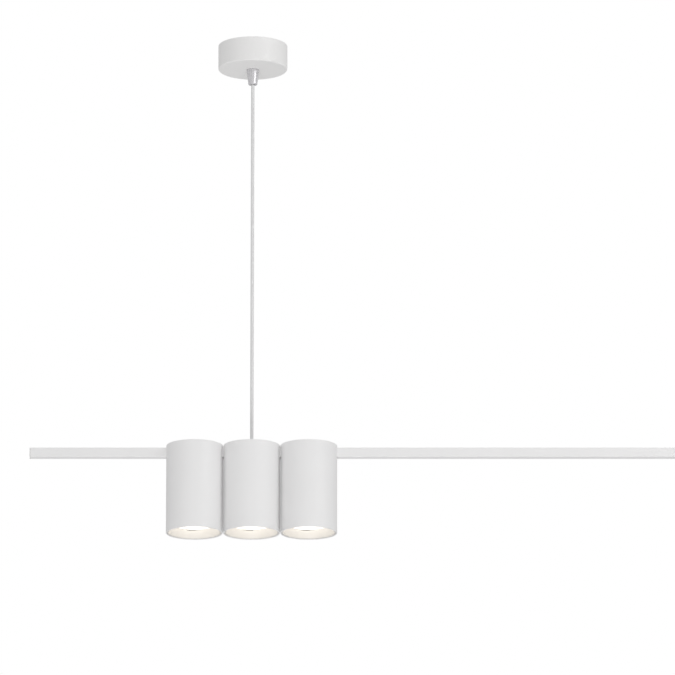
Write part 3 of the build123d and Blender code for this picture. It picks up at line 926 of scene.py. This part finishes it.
def make_bar():
    """Square aluminium tube with softly rounded corners, drilled for the cord and the wires."""
    low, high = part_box("bar")
    cord_hole_r = 3.05 * mm
    wire_hole_r = 1.0 * mm
    tube = block("square_bar", low, high)
    pick(tube, "FACE", lambda middle, normal: abs(normal.x) > 0.9)
    bpy.ops.mesh.delete(type="FACE")
    for x in (-0.16, -0.05, 0.05, 0.2, 0.33):
        bpy.ops.mesh.select_all(action="SELECT")
        bpy.ops.mesh.bisect(plane_co=(x, 0, 0), plane_no=(1, 0, 0))
    leave()
    thicken(tube, 1.0 * mm)

    def on_corner(first, second):
        outside = near(abs(first.y), high.y) or near(abs(second.y), high.y)
        return abs(first.x - second.x) > mm and outside and (near(first.z, low.z) or near(first.z, high.z))

    round_edges(tube, on_corner, 0.55 * mm, 4)
    cut(tube, drill(cord_hole_r, (0, 0, high.z), "Z", 3 * mm, 48))
    for x in spot_places:
        for side in (-1, 1):
            cut(tube, drill(wire_hole_r, (x + side * pin_x, -side * wire_y, low.z), "Z", 3 * mm, 24))
    finish_piece(tube, "spot_bar", "bar_paint", "bar")


def make_bar_end(name, node, side):
    """Push-in end: a plate as wide as the bar, and a ribbed plug that grips inside it."""
    low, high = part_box(node)
    outer_x = high.x if side > 0 else low.x
    inner_x = outer_x - side * mm
    ends = sorted((outer_x, inner_x))
    cap = block(name, (ends[0], low.y, low.z), (ends[1], high.y, high.z))
    soften(cap, 0.35 * mm, 3)
    plug_ends = sorted((inner_x + side * 0.2 * mm, inner_x - side * 6.0 * mm))
    plug_inset = 1.3 * mm
    plug = block("plug", (plug_ends[0], low.y + plug_inset, low.z + plug_inset),
                 (plug_ends[1], high.y - plug_inset, high.z - plug_inset))
    soften(plug, 0.5 * mm)
    weld(cap, plug)
    ribs = []
    middle_z = (low.z + high.z) / 2
    reach = 3.9 * mm
    for rib_x in (1.4, 2.8, 4.2):
        places = sorted((inner_x - side * rib_x * mm, inner_x - side * (rib_x + 0.5) * mm))
        ribs.append(block("rib", (places[0], -reach, middle_z - reach),
                          (places[1], reach, middle_z + reach)))
    weld(cap, *ribs)
    finish_piece(cap, "spot_bar", "end_plastic", node)


# ---- spots ----
def make_spot_tube():
    """Rolled tube with a notch on each side for the bar and three studs near the mouth."""
    low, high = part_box("spot_tube_1")
    bar_low, bar_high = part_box("bar")
    radius = (high.x - low.x) / 2
    room = 0.1 * mm
    half_notch = bar_high.y + room
    notch_low = bar_low.z - room
    tube = rolled_sheet("spot_shade_1", [(radius, high.z), (radius, low.z)], (first_x, 0), 128)
    edit(tube)
    planes = [((first_x, side * half_notch, 0), (0, 1, 0)) for side in (-1, 1)]
    planes += [((first_x, 0, z), (0, 0, 1)) for z in (notch_low, bar_high.z)]
    for place, direction in planes:
        bpy.ops.mesh.select_all(action="SELECT")
        bpy.ops.mesh.bisect(plane_co=place, plane_no=direction)
    leave()
    pick(tube, "FACE", lambda middle, normal: abs(middle.y) < half_notch
         and notch_low < middle.z < bar_high.z)
    bpy.ops.mesh.delete(type="FACE")
    leave()
    thicken(tube, wall)
    soften(tube, 0.35 * mm, 3, 50)
    for angle in stud_angles:
        stud = turned("stud", [
            (0.7 * mm, radius - 2.8 * mm), (1.2 * mm, radius - 2.4 * mm), (1.2 * mm, radius - 0.6 * mm)],
            sides=24)
        make_active(stud)
        stud.rotation_euler = (0, pi / 2, radians(angle))
        stud.location = (first_x, 0, low.z + stud_rise)
        weld(tube, settle("stud"))
    return tube


def make_cap(name, x, with_bush):
    """Top disc seated inside the tube's edge, with two threaded posts down to the lamp bracket."""
    low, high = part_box("spot_cap_1")
    bar_low, bar_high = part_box("bar")
    radius = (high.x - low.x) / 2
    cap = turned(name, [
        (radius, bar_high.z), (radius, high.z - 0.4 * mm), (radius - 0.15 * mm, high.z - 0.12 * mm),
        (radius - 0.45 * mm, high.z)], (x, 0), 128)
    post_r = 3.5 * mm
    posts = [rod("post", post_r, bar_low.z, bar_high.z + 0.5 * mm, x, side * post_y, 40)
             for side in (-1, 1)]
    weld(cap, *posts)
    cut(cap, *(drill(1.5 * mm, (x, side * post_y, bar_low.z), "Z", 13.2 * mm, 24) for side in (-1, 1)))
    if with_bush:
        cut(cap, drill(3.02 * mm, (x, 0, high.z), "Z", 12 * mm, 48))
    return cap


def make_bezel():
    """White reflector cone with a rounded lip, and a skirt with a bent slot for each stud."""
    low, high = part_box("bezel_1")
    outer = (high.x - low.x) / 2
    sheet = 1.0 * mm
    throat_r = 23.3 * mm
    throat_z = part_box("bulb_body_1")[0].z - 0.3 * mm
    stud_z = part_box("spot_tube_1")[0].z + stud_rise
    half_slot = 1.5 * mm
    cone = rolled_sheet("reflector_bezel_1", [
        (outer, high.z), (outer, stud_z + half_slot), (outer, stud_z), (outer, stud_z - half_slot),
        (outer, low.z + 0.5 * mm), (outer - 0.12 * mm, low.z + 0.15 * mm), (outer - 0.45 * mm, low.z),
        (outer - 0.95 * mm, low.z + 0.05 * mm), (outer - 1.3 * mm, low.z + 0.35 * mm),
        (throat_r + 0.35 * mm, throat_z - 0.5 * mm), (throat_r, throat_z)], (first_x, 0), 120)

    def in_slot(middle, normal):
        angle = degrees(atan2(middle.y, middle.x - first_x))
        for stud in stud_angles:
            turn = (angle - stud + 180) % 360 - 180
            along = -3 < turn < 21 and abs(middle.z - stud_z) < half_slot
            entry = 15 < turn < 21 and middle.z > stud_z
            if along or entry:
                return True
        return False

    pick(cone, "FACE", in_slot)
    bpy.ops.mesh.delete(type="FACE")
    leave()
    thicken(cone, sheet)
    soften(cone, 0.18 * mm, 2, 50)
    return cone


def arc_between(start, end, radius, count):
    """Outline points on an arc from one point to another that bulges away from the middle line."""
    start, end = Vector(start), Vector(end)
    half = (end - start) / 2
    inward = Vector((-half.y, half.x)).normalized()
    centre = start + half + inward * (radius ** 2 - half.length_squared) ** 0.5
    first = atan2(start.y - centre.y, start.x - centre.x)
    last = atan2(end.y - centre.y, end.x - centre.x)
    turns = [first + (last - first) * step / (count - 1) for step in range(count)]
    return [(centre.x + radius * cos(turn), centre.y + radius * sin(turn)) for turn in turns]


def make_bulb_body():
    """Lamp housing: flat rim, ribbed bell, narrow base."""
    low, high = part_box("bulb_body_1")
    rim = 25.0 * mm
    seat = 23.1 * mm
    cavity = 21.7 * mm
    base = 9.0 * mm
    face_z = low.z
    ledge_z = face_z + 4.0 * mm
    cavity_z = ledge_z + 5.0 * mm
    shoulder = (rim, face_z + 3.8 * mm)
    waist = (13.5 * mm, high.z - 15.0 * mm)
    outline = [(cavity, cavity_z), (cavity, ledge_z), (seat, ledge_z), (seat, face_z), (rim, face_z)]
    outline += arc_between(shoulder, waist, 125 * mm, 11)
    outline += [(base, waist[1] + 4.5 * mm), (base, high.z - 0.6 * mm), (base - 0.6 * mm, high.z)]
    body = turned("lamp_housing_1", outline, (first_x, 0))
    round_ring(body, rim, face_z, 0.5 * mm, 4, (first_x, 0))
    round_ring(body, seat, face_z, 0.25 * mm, 2, (first_x, 0))
    ribs_low = -521.0 * mm
    ribs_high = -498.0 * mm

    def on_rib(middle, normal):
        angle = degrees(atan2(middle.y, middle.x - first_x)) % 15
        away = hypot(middle.x - first_x, middle.y)
        return angle < 7.5 and ribs_low < middle.z < ribs_high and away > 14 * mm

    pick(body, "FACE", on_rib)
    bpy.ops.mesh.extrude_region_shrink_fatten(TRANSFORM_OT_shrink_fatten={"value": 0.55 * mm})
    leave()
    return body


def make_bulb_lens():
    """Domed frosted lens with a stepped edge."""
    low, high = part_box("bulb_lens_1")
    edge = (high.x - low.x) / 2
    rise = 0.9 * mm
    step = 0.25 * mm
    outline = [(edge, high.z), (edge, low.z + rise + step), (edge - step, low.z + rise)]
    outline += [(share * edge, low.z + rise * share ** 2)
                for share in (0.93, 0.8, 0.65, 0.5, 0.35, 0.2, 0.06)]
    return turned("lamp_lens_1", outline, (first_x, 0))


def two_finishes(piece):
    """Board and chip paint, in that order, on one piece."""
    piece.data.materials.append(paints["led_board"])
    piece.data.materials.append(paints["led_chip"])


def make_chip(x, y, seat_z):
    """Square chip with a sunk yellow window."""
    half = 1.5 * mm
    half_window = 0.5 * mm
    chip = block("chip", (x - half, y - half, seat_z - 0.7 * mm), (x + half, y + half, seat_z))
    pick(chip, "FACE", lambda middle, normal: normal.z < -0.9)
    bpy.ops.mesh.inset(thickness=0.35 * mm, depth=0)
    bpy.ops.mesh.inset(thickness=0.1 * mm, depth=-0.12 * mm)
    leave()
    two_finishes(chip)
    for face in chip.data.polygons:
        away = max(abs(face.center.x - x), abs(face.center.y - y))
        face.material_index = 1 if face.normal.z < -0.9 and away < half_window else 0
    return chip


def make_bulb_board():
    """Round board with one chip in the middle and six round it."""
    low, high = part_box("bulb_board_1")
    radius = (high.x - low.x) / 2
    edge = 0.2 * mm
    chips_r = 9 * mm
    board = turned("lamp_board_1", [
        (radius, high.z), (radius, low.z + edge), (radius - edge, low.z)], (first_x, 0), 72)
    two_finishes(board)
    turns = [turn * pi / 3 for turn in range(6)]
    chips = [make_chip(first_x, 0.0, low.z)]
    chips += [make_chip(first_x + chips_r * cos(turn), chips_r * sin(turn), low.z) for turn in turns]
    return join(board, *chips)


def make_bulb_pins():
    """Two stepped bayonet pins with rounded heads."""
    low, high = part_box("bulb_pins_1")
    neck = 1.5 * mm
    head = 2.4 * mm
    neck_z = low.z + 3.0 * mm
    pins = [turned("lamp_pins_1", [
        (neck, low.z), (neck, neck_z), (head - 0.25 * mm, neck_z), (head, neck_z + 0.25 * mm),
        (head, high.z - 0.6 * mm), (head - 0.2 * mm, high.z - 0.2 * mm), (head - 0.7 * mm, high.z)],
        (first_x + side * pin_x, 0), 40) for side in (-1, 1)]
    return join(*pins)


def make_lampholder():
    """Ceramic holder: chamfered puck with two curved bayonet slots, screw wells and wire holes."""
    low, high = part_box("lampholder_1")
    radius = (high.x - low.x) / 2
    puck = turned("ceramic_holder_1", [
        (radius - 0.8 * mm, low.z), (radius, low.z + 0.8 * mm), (radius, high.z - 5.0 * mm),
        (radius - 0.5 * mm, high.z - 4.5 * mm), (radius - 0.5 * mm, high.z - 0.4 * mm),
        (radius - 0.9 * mm, high.z)], (first_x, 0))
    lip_z = low.z + 2.4 * mm
    room_z = lip_z + 4.6 * mm
    slot_r = 1.8 * mm
    head_room_r = 2.7 * mm
    entry_r = 2.71 * mm
    for start in (0, 180):
        for turn in (0, -8, -17, -25):
            angle = radians(start + turn)
            place = (first_x + pin_x * cos(angle), pin_x * sin(angle))
            cut(puck, turned("pin_slot", [
                (slot_r, low.z - mm), (slot_r, lip_z), (head_room_r, lip_z),
                (head_room_r, room_z + 0.6 * mm)], place, 28))
        cut(puck, rod("entry", entry_r, low.z - mm, room_z, *place, 28))
    well_r = 2.85 * mm
    well_z = low.z + 4 * mm
    screw_hole_r = 1.6 * mm
    for side in (-1, 1):
        cut(puck, turned("screw_well", [
            (well_r, low.z - mm), (well_r, well_z), (screw_hole_r, well_z),
            (screw_hole_r, high.z + mm)], (first_x + side * holder_screw_x, 0), 32))
        cut(puck, rod("wire_hole", 0.8 * mm, room_z, high.z + mm, first_x + side * pin_x,
                      -side * wire_y, 20))
    return puck


def make_lamp_hanger():
    """Folded steel strip: flat top on the cap's posts, two legs, and a foot with a hole on each."""
    low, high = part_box("lamp_hanger_1")
    x = first_x
    sheet = 1.2 * mm
    leg_x = 9 * mm
    foot_x = (high.x - low.x) / 2
    half_leg = 6 * mm
    window_x = 6.4 * mm
    window_y = 3 * mm
    top = block("folded_bracket_1", (x - leg_x, low.y, high.z - sheet), (x + leg_x, high.y, high.z))
    parts = []
    for side in (-1, 1):
        leg = sorted((x + side * (leg_x - sheet), x + side * leg_x))
        foot = sorted((x + side * (leg_x - sheet), x + side * foot_x))
        parts.append(block("leg", (leg[0], -half_leg, low.z), (leg[1], half_leg, high.z)))
        parts.append(block("foot", (foot[0], -half_leg, low.z), (foot[1], half_leg, low.z + sheet)))
    weld(top, *parts)
    cut(top, block("window", (x - window_x, -window_y, high.z - 2 * sheet),
                   (x + window_x, window_y, high.z + mm)))
    for side in (-1, 1):
        cut(top, drill(1.6 * mm, (x, side * post_y, high.z), "Z", 6 * mm, 28))
        cut(top, drill(1.5 * mm, (x + side * holder_screw_x, 0, low.z), "Z", 6 * mm, 28))
    soften(top, 0.2 * mm)
    return top


def make_screw_set(name, node, head_r, seat_z, tip_z, spread):
    """Pan-head screws at each spot, in pairs either side of its axis."""
    face_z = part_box(node)[0].z
    screws = []
    for x in spot_places:
        for side in (-1, 1):
            screws.append(pan_screw(name, head_r, screw_shank_r, face_z, seat_z, tip_z,
                                    x + side * spread[0], side * spread[1]))
    finish_piece(join(*screws), "spot_bar", "screw_steel", node)


def repeat_at_spots(first, stem, body_stem, slot, node_stem, finish=finish_piece):
    """The piece made for the first spot is copied to the others, and each takes its own node's place."""
    pieces = [first]
    for number in (2, 3):
        shift = (spot_places[number - 1] - first_x, 0, 0)
        pieces.append(copy_of(first, f"{stem}_{number}", shift))
    for number, piece in enumerate(pieces, 1):
        body = body_stem if body_stem == "spot_bar" else f"{body_stem}_{number}"
        finish(piece, body, slot, f"{node_stem}_{number}")


make_camera()
make_supply_cord()
make_world()
make_lamp("from_below", place=(0, -3, -5), aim=(0, 0, -0.4), size=3.0, power=102)
make_lamp("from_the_right", place=(1.1, -0.95, 0.2), aim=(0, 0, -0.3), size=0.5, power=3.4)
make_lamp("from_the_front", place=(0.6, -7.0, -1.0), aim=(0, 0, -0.4), size=3.0, power=14)
make_floor()
bpy.context.scene.view_settings.view_transform = "Standard"
paint_nodes()

make_canopy()
make_canopy_screws()
make_cord_grip()
make_grip_nut()
make_retainer()
make_ceiling_bracket()
make_terminal_block()
make_terminal_clamps()
make_terminal_screws()
make_block_screw()
make_bush()
make_bar()
make_bar_end("bar_end_cap_left", "bar_end_left", -1)
make_bar_end("bar_end_cap_right", "bar_end_right", 1)
repeat_at_spots(make_spot_tube(), "spot_shade", "spot_bar", "tube_paint", "spot_tube")
for number, x in enumerate(spot_places, 1):
    cap = make_cap(f"spot_top_{number}", x, number == 2)
    finish_piece(cap, "spot_bar", "tube_paint", f"spot_cap_{number}")
repeat_at_spots(make_bezel(), "reflector_bezel", "bezel", "reflector_white", "bezel")
repeat_at_spots(make_bulb_body(), "lamp_housing", "bulb", "bulb_plastic", "bulb_body")
repeat_at_spots(make_bulb_lens(), "lamp_lens", "bulb", "lens_lit", "bulb_lens")
repeat_at_spots(make_bulb_pins(), "lamp_pins", "bulb", "pin_metal", "bulb_pins")
repeat_at_spots(make_bulb_board(), "lamp_board", "bulb", "led_board", "bulb_board", put_on_body)
bar_floor_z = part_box("bar")[0].z
holder_low, holder_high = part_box("lampholder_1")
head_r = 2.7 * mm
make_screw_set("bracket_screws", "hanger_screws", head_r, seat_z=bar_floor_z - 1.2 * mm,
               tip_z=bar_floor_z + 6.3 * mm, spread=(0, post_y))
make_screw_set("ceramic_screws", "holder_screws", head_r, seat_z=holder_low.z + 4 * mm,
               tip_z=holder_high.z + 3.5 * mm, spread=(holder_screw_x, 0))
repeat_at_spots(make_lampholder(), "ceramic_holder", "spot_bar", "holder_ceramic", "lampholder")
repeat_at_spots(make_lamp_hanger(), "folded_bracket", "spot_bar", "zinc_steel", "lamp_hanger")
